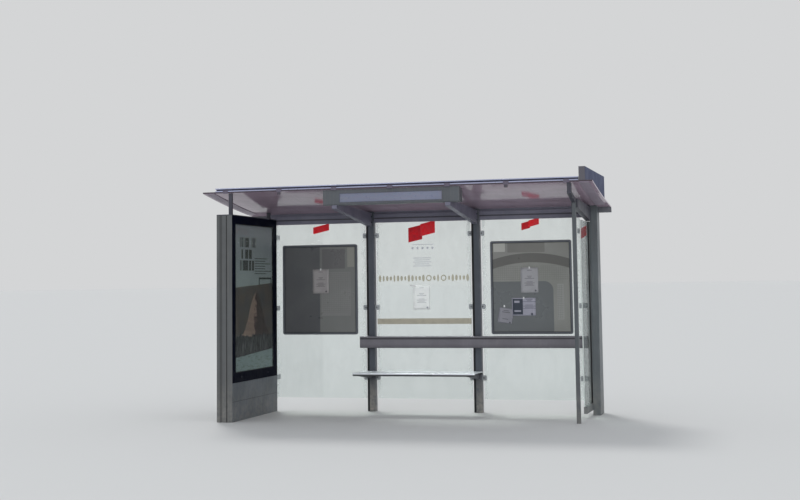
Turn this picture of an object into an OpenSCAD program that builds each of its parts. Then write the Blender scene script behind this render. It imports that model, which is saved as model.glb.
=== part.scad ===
// Bus shelter with a sloping roof on posts, a glazed back and a lit poster case at its left end.
// x runs along the road, y from the road to the back, z up. The origin is under the middle of the
// shelter, on the ground. Lengths along y are given from the back plane, where the panes stand.

/* [Layout] */
// Distance between the axes of neighbouring posts
bay = 1330; // [1100:5:1600]
// How far the roof reaches past the two outer axes
roof_overhang = 285; // [250:5:360]
// Free height under the panes
pane_lift = 156; // [100:1:250]

/* [Poster case] */
// Thickness of the case
case_t = 190; // [150:2:240]
// Distance from the back plane to the rear of the case
case_rear = 150; // [120:5:220]
// Distance from the first axis to the middle of the case
case_shift = 50; // [0:5:80]
// Height of the plain base under the doors
case_base_h = 438; // [300:2:520]
// Height of the seam across the base
seam_z = 225; // [150:1:280]
// Visible width of the poster
poster_w = 1167; // [900:1:1420]
// Visible height of the poster
poster_h = 1701; // [1400:1:2050]
// Side of the square stubs between case and roof
stub_w = 40; // [30:1:60]

/* [Roof] */
// Distance from the front of the case back to the front edge of the roof
roof_setback = 160; // [100:5:200]
// How far the roof reaches behind the back plane
roof_rear = 180; // [165:5:260]
// Height of the rear edge of the roof above the case
roof_lift = 49; // [40:1:90]
// Rise of the roof from its rear edge to its front edge
roof_rise = 208; // [170:1:280]
// Fall of the sheet at its rear edge, as a ratio
roof_rear_fall = 0.09; // [0.05:0.01:0.10]
// Thickness of the roof sheet
sheet_t = 16; // [8:1:30]
// Distance from the ends of the sheet to the front rail
rail_inset = 155; // [130:5:200]
// Height of the front rail on the sheet
rail_h = 42; // [30:1:70]
// Depth of the front rail
rail_d = 40; // [25:1:60]
// Height of the panel on the right end, above the front edge of the sheet
end_panel_rise = 150; // [80:1:220]
// Thickness of that panel
end_panel_t = 70; // [40:1:100]

/* [Posts] */
// Width of the two middle posts
post_w = 100; // [75:1:125]
// Depth of the two middle posts
post_d = 90; // [75:1:110]
// Width of the end post
end_post_w = 88; // [70:1:110]
// Distance from the last axis to the inner face of the end post
end_post_shift = 53; // [45:1:70]
// How far the end post reaches forward at its top
end_post_top = 36; // [32:1:60]
// How far the end post reaches forward at its foot
end_post_foot = 140; // [125:1:170]
// Side of the square front post
front_post_w = 44; // [35:1:60]
// Distance from the front post back from the front edge of the roof
front_post_setback = 351; // [250:1:420]

/* [Arms and light box] */
// Width of an arm
arm_w = 60; // [44:1:80]
// How far the light box reaches past the axes of the middle posts
box_reach = 135; // [100:5:180]
// Depth of the light box
box_d = 140; // [100:1:200]
// Height of the light box under the front edge of the roof
box_h = 176; // [160:1:210]
// Length of the block at each end of the light box
box_end_l = 200; // [150:5:240]
// Height of the lit strip in its front
strip_h = 100; // [60:1:105]

/* [Panes and boards] */
// Gap between a post and the edge of a pane
pane_gap = 22.5; // [15:0.5:26]
// Thickness of the panes
pane_t = 10; // [8:1:14]
// Depth of the pane at the right end
side_pane_w = 500; // [400:5:600]
// Distance from the sides of a pane to the notice board on it
board_margin = 102.5; // [60:2.5:160]
// Distance from the top of a pane to the notice board on it
board_drop = 255; // [150:5:350]
// Height of a notice board
board_h = 1110; // [900:5:1200]
// Width of the frame round a notice board
board_frame = 24; // [15:1:40]

/* [Seat and rail] */
// How far the bench reaches past the axes of the middle posts
seat_reach = 77; // [50:1:110]
// Depth of the bench
seat_d = 430; // [350:5:520]
// Height of the bench
seat_z = 494; // [420:2:560]
// Underside of the rail to lean on
lean_z = 772; // [700:2:860]
// Height of that rail
lean_h = 140; // [100:2:160]
// Depth of that rail
lean_d = 45; // [35:1:70]

/* [Hidden] */
$fn = 24;
// Reach of a cut past the face that it opens
over = 1;
post_x = bay / 2;
last_x = 1.5 * bay;
// Poster case, outwards from the poster
poster_front_margin = 112;
poster_rear_margin = 146;
poster_low_margin = 118;
poster_top_margin = 108;
poster_r = 8;
poster_z = case_base_h + poster_low_margin;
case_front = case_rear + poster_rear_margin + poster_w + poster_front_margin;
case_h = poster_z + poster_h + poster_top_margin;
case_x = -last_x + case_shift;
case_skin = 12;
case_bow = 8;
case_bow_steps = 10;
profile_d = 60;
cap_t = 10;
door_t = 12;
door_gap = 2;
case_top = case_h - cap_t;
case_half = case_t / 2;
core_half = case_half - door_t;
// Flutes down the case profiles: middle and width of each
flutes = [[-40, 31], [30.5, 13]];
flute_d = 7;
flute_r = 3;
joint_h = 6;
seam_h = 4;
seam_d = 3;
sheet_of_poster_t = 2;
glass_t = 5;
glass_set_back = 1;
// Roof section: the underside as a gentle curve through both edges
roof_l = 3 * bay + 2 * roof_overhang;
roof_front = case_front - roof_setback;
roof_rear_z = case_h + roof_lift;
roof_front_z = roof_rear_z + roof_rise;
roof_d = roof_front + roof_rear;
roof_curve = (roof_rise - roof_rear_fall * roof_d) / (roof_d * roof_d);
roof_steps = 14;
function roof_z(y) = roof_rear_z + roof_rear_fall * (roof_rear - y) + roof_curve * pow(roof_rear - y, 2);
function roof_line(lift) = [
    for (i = [0:roof_steps]) let (y = roof_rear - i * roof_d / roof_steps) [y, roof_z(y) + lift]
];
far = roof_front_z + 1000;
// Lies between the two ends of the footprint, so that the origin is under its middle
back_y = (case_front - roof_rear) / 2;
// Roof fittings
flange_t = 12;
web_t = 6;
clip_w = 62;
clip_t = 8;
clip_drop = 6;
gutter_d = 80;
gutter_h = 56;
gutter_t = 4;
gutter_z = roof_rear_z - gutter_h;
gutter_y = roof_rear - gutter_d;
trim_w = 110;
trim_t = 6;
trim_stop = 120;
end_panel_gap = 7;
end_panel_x = roof_l / 2 - rail_inset + end_panel_gap;
// Beams, with a groove along each face and a web up to the roof
beam_d = 60;
beam_h = 110;
beam_r = 5;
beam_web_d = 24;
beam_groove_z = 46;
beam_groove_h = 14;
beam_groove_d = 8;
beam_gap = 5;
beam_z = roof_rear_z - beam_h - beam_gap;
bracket_half = 45;
bracket_lift = 6;
// Posts
post_r = 10;
rebate_w = 28;
rebate_d = 12;
end_post_x = last_x + end_post_shift;
end_post_inset = 25;
end_post_rear = roof_rear - end_post_inset;
front_post_shift = 25;
front_post_x = last_x + front_post_shift;
front_post_y = -roof_front + front_post_setback;
head_h = 206;
front_post_h = roof_front_z - head_h;
front_post_r = 4;
// Cranked head of the front post
head_t = 40;
head_w = 52;
head_inset = 20;
head_front = -roof_front + head_inset;
head_plate_h = 122;
head_knee_z = roof_front_z - head_plate_h;
head_arm_overlap = 12;
// Arms
arm_root_drop = 47;
arm_root_h = 166;
arm_root_z = [beam_z - arm_root_drop, beam_z - arm_root_drop + arm_root_h];
arm_r = 8;
box_z = roof_front_z - box_h;
arm_nose_h = 42;
arm_nose_z = box_z - arm_nose_h;
arm_shoulder_h = 22;
arm_shoulder_z = box_z + arm_shoulder_h;
// Light box
box_inset = 15;
box_front = roof_front - box_inset;
box_l = bay + 2 * box_reach;
strip_lift = 30;
strip_z = box_z + strip_lift;
strip_l = box_l - 2 * box_end_l;
strip_t = 7;
strip_set_back = 5;
box_chamfer = 12;
// Panes and their clamps
pane_w = bay - post_w - 2 * pane_gap;
pane_top_gap = 4;
pane_top = beam_z - pane_top_gap;
clamp_h = 60;
clamp_d = 34;
clamp_r = 12;
clamp_grip = 28;
clamp_low = pane_lift + 224;
clamp_high = pane_top - 185;
clamp_mid = (clamp_low + clamp_high) / 2 - 15;
rear_bracket_x = [case_x + 30, case_x + 80];
// Pane at the right end, on its rail and in its channel
side_pane_shift = 21;
side_pane_x = last_x + side_pane_shift;
side_pane_rear = 100;
side_pane_front = side_pane_rear + side_pane_w;
side_pane_z = 137;
side_pane_top_gap = 6;
side_pane_top = arm_root_z[0] - side_pane_top_gap;
side_rail_h = 78;
side_rail_edge = 8;
pane_bite = 20;
channel_lip = 14;
channel_x = side_pane_x - channel_lip;
channel_y = [-side_pane_rear - pane_bite, beam_d / 2];
channel_seal_x = [side_pane_x + channel_lip, end_post_x - 2];
channel_seal_d = 15;
// Boards stand off the panes on their frames
board_t = 14;
board_frame_t = 22;
board_r = 25;
board_w = pane_w - 2 * board_margin;
board_z = pane_top - board_drop - board_h;
// Rail to lean on
lean_back = 130;
lean_r = 12;
lean_groove_z = 24;
lean_groove_h = 10;
lean_groove_d = 8;
lean_gap = 5;
lean_x = [-post_x - post_w, side_pane_x - pane_t / 2 - lean_gap];
lean_bracket_half = 30;
lean_bracket_edge = 30;
lean_end_bracket_w = 40;
// Bench
seat_t = 6;
seat_lip = 34;
seat_r = 12;
seat_back = 120;
seat_front = seat_back + seat_d;
seat_l = bay + 2 * seat_reach;
fold_room = 8;
seat_bracket_w = 50;
seat_bracket_tip = 28;
seat_bracket_root = 90;

// Placing and basic forms

// A box from ranges along the three axes, with y from the back plane
module block(x, y, z) {
    translate([x[0], back_y + y[0], z[0]])
        cube([x[1] - x[0], y[1] - y[0], z[1] - z[0]]);
}

// A section drawn as [y, z], run along x
module run_x(x) {
    translate([x[0], back_y, 0])
        rotate([90, 0, 90])
            linear_extrude(x[1] - x[0])
                children();
}

// A front view drawn as [x, z], run along y
module run_y(y) {
    translate([0, back_y + y[1], 0])
        rotate([90, 0, 0])
            linear_extrude(y[1] - y[0])
                children();
}

// A plan drawn as [x, y], run up z
module run_z(z) {
    translate([0, back_y, z[0]])
        linear_extrude(z[1] - z[0])
            children();
}

// A flat rectangle between two corners
module rect(a, b) {
    translate(a)
        square(b - a);
}

// The same with its outer corners rounded
module soft_rect(a, b, r) {
    soft(r)
        rect(a, b);
}

// Rounds the outer corners of a flat shape and leaves the inner ones sharp
module soft(r) {
    offset(r = r)
        offset(delta = -r)
            children();
}

module at_x(x) {
    translate([x, 0, 0])
        children();
}

// Draws a piece on one side of the axis x = 0 and its mirror image on the other
module both_sides() {
    children();
    mirror([1, 0, 0])
        children();
}

// The space below the roof sheet
module below_roof() {
    run_x([-roof_l, roof_l])
        polygon(concat(roof_line(0), [
            [-far, roof_front_z],
            [-far, -over],
            [far, -over],
            [far, roof_rear_z],
        ]));
}

// The space above the roof sheet
module above_roof() {
    run_x([-roof_l, roof_l])
        polygon(concat(roof_line(sheet_t), [[-roof_front, far], [roof_rear, far]]));
}

// Poster case, drawn about its own axis

// Plan of the case, with its front and rear gently bowed
module case_plan() {
    bow = [
        for (i = [-case_bow_steps:case_bow_steps])
            let (u = i / case_bow_steps) [u * case_half, case_bow * u * u]
    ];
    front = [for (p = bow) [p[0], p[1] - case_front]];
    rear = [for (p = bow) [-p[0], -p[1] - case_rear]];
    polygon(concat(front, rear));
}

// Plan of the fluted profile at the front of the case
module profile_plan() {
    difference() {
        union() {
            intersection() {
                case_plan();
                rect([-case_half, -case_front], [case_half, -case_front + case_skin]);
            }
            rect([-core_half, -case_front + case_bow], [core_half, -case_front + profile_d]);
        }
        for (f = flutes)
            soft_rect(
                [f[0] - f[1] / 2, -case_front - flute_d],
                [f[0] + f[1] / 2, -case_front + flute_d],
                flute_r
            );
    }
}

module case_core() {
    color("silver")
        at_x(case_x)
            block([-core_half, core_half], [-case_front + profile_d, -case_rear - profile_d], [0, case_top]);
}

module case_front_profile() {
    joint_x = flutes[1][0] + flutes[1][1] / 2 - over;
    color("silver")
        at_x(case_x)
            difference() {
                run_z([0, case_top])
                    profile_plan();
                // Joint between the base and the upper length, beside the narrow flute
                block(
                    [joint_x, case_half + over],
                    [-case_front - over, -case_front + flute_d],
                    [case_base_h - joint_h, case_base_h]
                );
            }
}

module case_rear_profile() {
    color("silver")
        at_x(case_x)
            run_z([0, case_top])
                translate([0, -case_front - case_rear])
                    mirror([0, 1])
                        profile_plan();
}

module case_cap() {
    color("silver")
        at_x(case_x)
            run_z([case_top, case_h])
                case_plan();
}

module case_base_panels() {
    color("gray")
        at_x(case_x)
            both_sides()
                difference() {
                    block(
                        [core_half, case_half],
                        [-case_front + case_skin, -case_rear - case_skin],
                        [0, case_base_h - door_gap]
                    );
                    // Seam between the skirting and the access panel
                    block(
                        [case_half - seam_d, case_half + over],
                        [-case_front, -case_rear],
                        [seam_z, seam_z + seam_h]
                    );
                }
}

// Outline of the poster openings
module opening() {
    front = -case_front + poster_front_margin;
    soft_rect([front, poster_z], [front + poster_w, poster_z + poster_h], poster_r);
}

// The door frame on the right side of the case
module case_door() {
    run_x([core_half, case_half])
        difference() {
            rect([-case_front + case_skin, case_base_h], [-case_rear - case_skin, case_top]);
            opening();
        }
}

module case_door_inner() {
    color("black")
        at_x(case_x)
            case_door();
}

module case_door_outer() {
    color("black")
        at_x(case_x)
            mirror([1, 0, 0])
                case_door();
}

module case_glass() {
    face = case_half - glass_set_back;
    color("lightblue", 0.4)
        at_x(case_x)
            both_sides()
                run_x([face - glass_t, face])
                    opening();
}

module poster_sheets() {
    color("lightgray")
        at_x(case_x)
            both_sides()
                run_x([core_half, core_half + sheet_of_poster_t])
                    opening();
}

module case_roof_stubs() {
    front_stub = -case_front + roof_setback + stub_w;
    rear_stub = -case_rear - profile_d / 2;
    half = stub_w / 2;
    color("dimgray")
        intersection() {
            at_x(case_x)
                run_z([case_h, far])
                    for (y = [front_stub, rear_stub])
                        soft_rect([-half, y - half], [half, y + half], front_post_r);
            below_roof();
        }
}

module case_back_bracket() {
    color("dimgray")
        at_x(case_x)
            block(
                [-bracket_half, bracket_half],
                [-case_rear, -beam_d / 2],
                [beam_z + bracket_lift, case_top]
            );
}

// Posts

// A middle post, with a rebate down the left of its front
module middle_post() {
    half = post_w / 2;
    color("slategray")
        intersection() {
            run_z([0, far])
                difference() {
                    soft_rect([-half, -post_d / 2], [half, post_d / 2], post_r);
                    rect([-half - over, -post_d / 2 - over], [-half + rebate_w, -post_d / 2 + rebate_d]);
                }
            below_roof();
        }
}

module post_left() {
    at_x(-post_x)
        middle_post();
}

module post_right() {
    at_x(post_x)
        middle_post();
}

// The end post widens towards its foot and is notched under the gutter
module end_post_body() {
    intersection() {
        run_x([end_post_x, end_post_x + end_post_w])
            polygon([
                [-end_post_foot, 0],
                [end_post_rear, 0],
                [end_post_rear, gutter_z],
                [gutter_y, gutter_z],
                [gutter_y, roof_front_z],
                [-end_post_top, roof_front_z],
                [-end_post_top, beam_z + beam_h],
            ]);
        below_roof();
    }
}

module end_post() {
    color("slategray")
        end_post_body();
}

module front_post() {
    half = front_post_w / 2;
    color("silver")
        at_x(front_post_x)
            run_z([0, front_post_h])
                soft_rect([-half, front_post_y - half], [half, front_post_y + half], front_post_r);
}

// The head of the front post, cranked forward to the roof, with the arm behind it to the end post
module front_post_head() {
    half = front_post_w / 2;
    front = front_post_y - half;
    rear = front_post_y + half;
    arm_end = end_post_x + head_arm_overlap;
    color("dimgray")
        intersection() {
            union() {
                run_x([front_post_x - half, front_post_x + half])
                    polygon([
                        [rear, front_post_h],
                        [rear, front_post_h + head_t],
                        [head_front + head_w, head_knee_z + half],
                        [head_front + head_w, roof_front_z],
                        [head_front, roof_front_z],
                        [head_front, head_knee_z],
                        [front, front_post_h],
                    ]);
                difference() {
                    run_x([arm_end - arm_w, arm_end])
                        intersection() {
                            arm_section(-beam_d / 2);
                            rect([rear, 0], [0, far]);
                        }
                    end_post_body();
                }
            }
            below_roof();
        }
}

// Beams over the panes
module beam(x) {
    half = beam_d / 2;
    groove = beam_z + beam_groove_z;
    color("gray")
        intersection() {
            run_x(x)
                difference() {
                    union() {
                        soft_rect([-half, beam_z], [half, beam_z + beam_h], beam_r);
                        rect([-beam_web_d / 2, beam_z + beam_r], [beam_web_d / 2, roof_front_z]);
                    }
                    for (y = [-half, half])
                        rect([y - beam_groove_d, groove], [y + beam_groove_d, groove + beam_groove_h]);
                }
            below_roof();
        }
}

module beam_left() {
    beam([case_x - bracket_half, -post_x - post_w / 2]);
}

module beam_middle() {
    beam([-post_x + post_w / 2, post_x - post_w / 2]);
}

module beam_right() {
    beam([post_x + post_w / 2, end_post_x]);
}

// Roof

// A strip along the roof's section, from one height over the underside to another
module along_roof(x, low, high) {
    top = roof_line(high);
    run_x(x)
        polygon(concat(roof_line(low), [for (i = [roof_steps:-1:0]) top[i]]));
}

module roof_sheet() {
    color("lightsteelblue")
        along_roof([-roof_l / 2, roof_l / 2], 0, sheet_t);
}

module roof_end_trims() {
    color("gray")
        difference() {
            both_sides()
                along_roof([end_panel_x, end_panel_x + trim_w], -trim_t, 0);
            // Room for what reaches the sheet under the trims
            block([-roof_l, roof_l], [-trim_stop, roof_rear + over], [0, far]);
        }
}

module front_rail() {
    y = -roof_front;
    z = roof_front_z + sheet_t;
    end = roof_l / 2 - rail_inset;
    color("white")
        intersection() {
            run_x([-end, end])
                polygon([
                    [y, z - sheet_t],
                    [y + rail_d, z - sheet_t],
                    [y + rail_d, z + rail_h],
                    [y, z + rail_h],
                    [y, z + rail_h - flange_t],
                    [y + rail_d - web_t, z + rail_h - flange_t],
                    [y + rail_d - web_t, z + flange_t],
                    [y, z + flange_t],
                ]);
            above_roof();
        }
}

module rail_clips() {
    y = -roof_front;
    top = roof_front_z + sheet_t + flange_t;
    color("gray")
        for (i = [-3:3])
            run_x([i * bay / 2 - clip_w / 2, i * bay / 2 + clip_w / 2])
                polygon([
                    [y, roof_front_z - clip_drop],
                    [y, top],
                    [y + 2 * clip_t, top],
                    [y + 2 * clip_t, top + web_t],
                    [y - clip_t / 2, top + web_t],
                    [y - clip_t, top + web_t / 2],
                    [y - clip_t, roof_front_z - clip_drop],
                ]);
}

module rear_gutter() {
    top = roof_rear_z + gutter_h;
    color("gray")
        intersection() {
            run_x([-roof_l / 2, roof_l / 2])
                difference() {
                    rect([gutter_y, gutter_z], [roof_rear, top]);
                    rect([gutter_y + gutter_t, gutter_z + gutter_t], [roof_rear - gutter_t, top + over]);
                }
            below_roof();
        }
}

module roof_end_panel() {
    color("lavender")
        intersection() {
            block(
                [end_panel_x, end_panel_x + end_panel_t],
                [-roof_front, roof_rear],
                [roof_rear_z, roof_front_z + sheet_t + end_panel_rise]
            );
            above_roof();
        }
}

// Arms and light box

// Side view of an arm from its root to the seat for the light box
module arm_section(root_y) {
    soft(arm_r)
        polygon([
            [root_y, arm_root_z[0]],
            [root_y, arm_root_z[1]],
            [-box_front + box_d, arm_shoulder_z],
            [-box_front + box_d, box_z],
            [-box_front, box_z],
            [-box_front, arm_nose_z],
        ]);
}

module arm(x) {
    color("dimgray")
        run_x([x - arm_w / 2, x + arm_w / 2])
            arm_section(-post_d / 2);
}

module arm_left() {
    arm(-post_x);
}

module arm_right() {
    arm(post_x);
}

// A length of the light box, up to the roof
module box_run(x) {
    intersection() {
        run_x(x)
            polygon([
                [-box_front, box_z + box_chamfer],
                [-box_front, roof_front_z],
                [-box_front + box_d, roof_front_z],
                [-box_front + box_d, box_z],
                [-box_front + box_chamfer / 2, box_z],
            ]);
        below_roof();
    }
}

module light_box_body() {
    half = strip_l / 2;
    pocket = strip_set_back + strip_t;
    color("slategray")
        difference() {
            box_run([-half, half]);
            block([-half, half], [-box_front - over, -box_front + pocket], [strip_z, strip_z + strip_h]);
        }
}

module light_box_ends() {
    color("gray")
        both_sides()
            box_run([strip_l / 2, box_l / 2]);
}

module light_box_strip() {
    face = -box_front + strip_set_back;
    color("lavender")
        block([-strip_l / 2, strip_l / 2], [face, face + strip_t], [strip_z, strip_z + strip_h]);
}

// Panes

module pane(x) {
    color("lightblue", 0.35)
        block([x - pane_w / 2, x + pane_w / 2], [-pane_t / 2, pane_t / 2], [pane_lift, pane_top]);
}

module pane_left() {
    pane(-bay);
}

module pane_middle() {
    pane(0);
}

module pane_right() {
    pane(bay);
}

// A clamp with a slot for the pane, reaching from the post face at x = root over the edge at x = edge
module pane_clamp(root, edge, z) {
    tip = edge + sign(edge - root) * clamp_grip;
    middle = (root + tip) / 2;
    difference() {
        run_y([-clamp_d / 2, clamp_d / 2]) {
            soft_rect([min(root, tip), z], [max(root, tip), z + clamp_h], clamp_r);
            rect([min(root, middle), z], [max(root, middle), z + clamp_h]);
        }
        block(
            edge < root ? [tip - over, edge] : [edge, tip + over],
            [-pane_t / 2, pane_t / 2],
            [z - over, z + clamp_h + over]
        );
    }
}

module pane_clamps() {
    half = pane_w / 2;
    inner = post_x - post_w / 2;
    outer = post_x + post_w / 2;
    color("dimgray")
        for (z = [clamp_low, clamp_mid, clamp_high]) {
            both_sides()
                pane_clamp(inner, half, z);
            pane_clamp(-outer, -bay + half, z);
            pane_clamp(outer, bay - half, z);
            pane_clamp(channel_x, bay + half, z);
            // Behind the poster case the pane rests against brackets on the case
            block(rear_bracket_x, [-case_rear, -pane_t / 2], [z, z + clamp_h]);
        }
}

module side_pane() {
    color("lightblue", 0.35)
        block(
            [side_pane_x - pane_t / 2, side_pane_x + pane_t / 2],
            [-side_pane_front, -side_pane_rear],
            [side_pane_z, side_pane_top]
        );
}

module side_pane_channel() {
    color("silver")
        run_z([side_pane_z, side_pane_top])
            difference() {
                soft_rect([channel_x, channel_y[0]], [end_post_x, channel_y[1]], flute_r);
                rect(
                    [side_pane_x - pane_t / 2, -side_pane_front],
                    [side_pane_x + pane_t / 2, -side_pane_rear]
                );
                // Recess for the seal beside the end post
                rect(
                    [channel_seal_x[0], channel_y[0] - over],
                    [channel_seal_x[1], channel_y[0] + channel_seal_d]
                );
            }
}

module side_pane_rail() {
    color("slategray")
        block(
            [side_pane_x - side_rail_edge, end_post_x],
            [-side_pane_front, beam_d],
            [side_pane_z - side_rail_h, side_pane_z]
        );
}

// Notice boards on the outer panes

module board_area(x, inset, r) {
    half = board_w / 2 - inset;
    soft_rect([x - half, board_z + inset], [x + half, board_z + board_h - inset], r);
}

module board(x) {
    color("tan")
        run_y([-pane_t / 2 - board_t, -pane_t / 2])
            board_area(x, board_frame, flute_r);
}

module board_surround(x) {
    color("silver")
        run_y([-pane_t / 2 - board_frame_t, -pane_t / 2])
            difference() {
                board_area(x, 0, board_r);
                board_area(x, board_frame, flute_r);
            }
}

module board_left() {
    board(-bay);
}

module board_frame_left() {
    board_surround(-bay);
}

module board_right() {
    board(bay);
}

module board_frame_right() {
    board_surround(bay);
}

// Rail to lean on

module lean_rail() {
    front = -lean_back - lean_d;
    top = lean_z + lean_h;
    groove = top - lean_groove_z;
    color("silver")
        run_x(lean_x)
            difference() {
                soft_rect([front, lean_z], [-lean_back, top], lean_r);
                rect([front - over, groove - lean_groove_h], [front + lean_groove_d, groove]);
            }
}

module lean_rail_brackets() {
    z = [lean_z + lean_bracket_edge, lean_z + lean_h - lean_bracket_edge];
    color("dimgray") {
        for (x = [-post_x, post_x])
            block([x - lean_bracket_half, x + lean_bracket_half], [-lean_back, -post_d / 2], z);
        block([channel_x - lean_end_bracket_w, channel_x], [-lean_back, -end_post_top], z);
    }
}

// Bench: a folded plate on two brackets

module seat_outline() {
    soft_rect([-seat_front, seat_z - 3 * seat_lip], [-seat_back, seat_z], seat_r);
}

module bench_seat() {
    color("silver")
        run_x([-seat_l / 2, seat_l / 2])
            difference() {
                seat_outline();
                offset(delta = -seat_t)
                    seat_outline();
                rect([-seat_front - over, seat_z - 4 * seat_lip], [over - seat_back, seat_z - seat_lip]);
            }
}

module bench_brackets() {
    top = seat_z - seat_t;
    tip = -seat_front + seat_t + fold_room;
    heel = -seat_back - seat_t - fold_room;
    half = seat_bracket_w / 2;
    color("dimgray")
        for (x = [-post_x, post_x])
            run_x([x - half, x + half])
                polygon([
                    [-post_d / 2, seat_z - seat_lip],
                    [heel, seat_z - seat_lip],
                    [heel, top],
                    [tip, top],
                    [tip, top - seat_bracket_tip],
                    [-post_d / 2, top - seat_bracket_root],
                ]);
}

case_core();
case_front_profile();
case_rear_profile();
case_cap();
case_base_panels();
case_door_inner();
case_door_outer();
case_glass();
poster_sheets();
case_roof_stubs();
case_back_bracket();
post_left();
post_right();
end_post();
front_post();
front_post_head();
beam_left();
beam_middle();
beam_right();
roof_sheet();
roof_end_trims();
front_rail();
rail_clips();
rear_gutter();
roof_end_panel();
arm_left();
arm_right();
light_box_body();
light_box_ends();
light_box_strip();
pane_left();
pane_middle();
pane_right();
pane_clamps();
side_pane();
side_pane_channel();
side_pane_rail();
board_left();
board_frame_left();
board_right();
board_frame_right();
lean_rail();
lean_rail_brackets();
bench_seat();
bench_brackets();
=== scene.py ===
"""The visual model of a bus shelter: finishes, glazing, prints and small fittings round the CAD frame.

Lengths are in metres, in the frame of the CAD: x along the road, y from the road to the back, z up.
Places are given in millimetres from the back plane, where the panes stand, and at() turns them into metres.
"""
import math

import bmesh
import bpy
from mathutils import Matrix, Vector


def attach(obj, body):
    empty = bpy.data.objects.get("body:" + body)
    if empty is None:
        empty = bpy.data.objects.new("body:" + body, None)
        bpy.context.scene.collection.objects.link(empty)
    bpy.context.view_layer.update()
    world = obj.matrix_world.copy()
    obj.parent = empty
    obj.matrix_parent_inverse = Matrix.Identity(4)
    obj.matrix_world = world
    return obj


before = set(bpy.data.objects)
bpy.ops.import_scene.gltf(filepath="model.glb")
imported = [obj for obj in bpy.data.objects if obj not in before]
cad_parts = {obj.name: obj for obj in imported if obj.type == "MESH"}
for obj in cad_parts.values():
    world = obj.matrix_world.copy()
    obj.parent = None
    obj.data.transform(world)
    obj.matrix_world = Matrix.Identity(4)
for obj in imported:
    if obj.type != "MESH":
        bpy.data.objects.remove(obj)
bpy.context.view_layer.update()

# Sizes of the shelter, in millimetres
BAY = 1330
BACK_PLANE = 697.5
POST_X = 665
CASE_X, CASE_HALF = -1945, 95
DOOR_LOW, DOOR_HIGH = (-1463, 556), (-296, 2257)
PANE_FACE, PANE_HALF = -5, 592.5
BOARD_FACE = -19
BOARD_FRAME_FACE = -27
CLAMP_Z = (380, 1230, 2110)
SIDE_PANE_FACE, SIDE_PANE_FRONT = 2011, -600
LEAN_RAIL_FOOT = 772
ROOF_FRONT, ROOF_REAR, ROOF_REAR_Z, ROOF_RISE, ROOF_FALL = 1415, 180, 2414, 208, 0.09

DUST = (151, 147, 139)
UP, DOWN, FRONT, BACK, RIGHT = (0, 0, 1), (0, 0, -1), (0, -1, 0), (0, 1, 0), (1, 0, 0)


def at(x, y, z):
    """A place given in millimetres from the back plane, in metres in the frame of the CAD."""
    return Vector((x, y + BACK_PLANE, z)) / 1000


def roof_under(y):
    """Height of the roof's underside over a distance from the back plane, in millimetres."""
    run = ROOF_REAR - y
    depth = ROOF_FRONT + ROOF_REAR
    curve = (ROOF_RISE - ROOF_FALL * depth) / depth ** 2
    return ROOF_REAR_Z + ROOF_FALL * run + curve * run ** 2


# Colour and node helpers

def rgb(r, g, b):
    """An 8-bit sRGB colour as the linear colour that a shader takes."""
    def linear(v):
        v /= 255
        return v / 12.92 if v <= 0.04045 else ((v + 0.055) / 1.055) ** 2.4
    return (linear(r), linear(g), linear(b), 1)


def scaled(colour, by):
    return tuple(min(255, by * c) for c in colour)


def feed(socket, value):
    """Links an output to a socket, or writes a number or colour on it."""
    if isinstance(value, bpy.types.NodeSocket):
        socket.id_data.links.new(value, socket)
    elif socket.type == "RGBA":
        socket.default_value = rgb(*value)
    else:
        socket.default_value = value


def add(tree, kind, inputs=None, **settings):
    """A new shader node with its settings, and what goes into its sockets by their names or numbers."""
    made = tree.nodes.new("ShaderNode" + kind)
    for key, value in settings.items():
        setattr(made, key, value)
    for key, value in (inputs or {}).items():
        feed(made.inputs[key], value)
    return made


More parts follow.
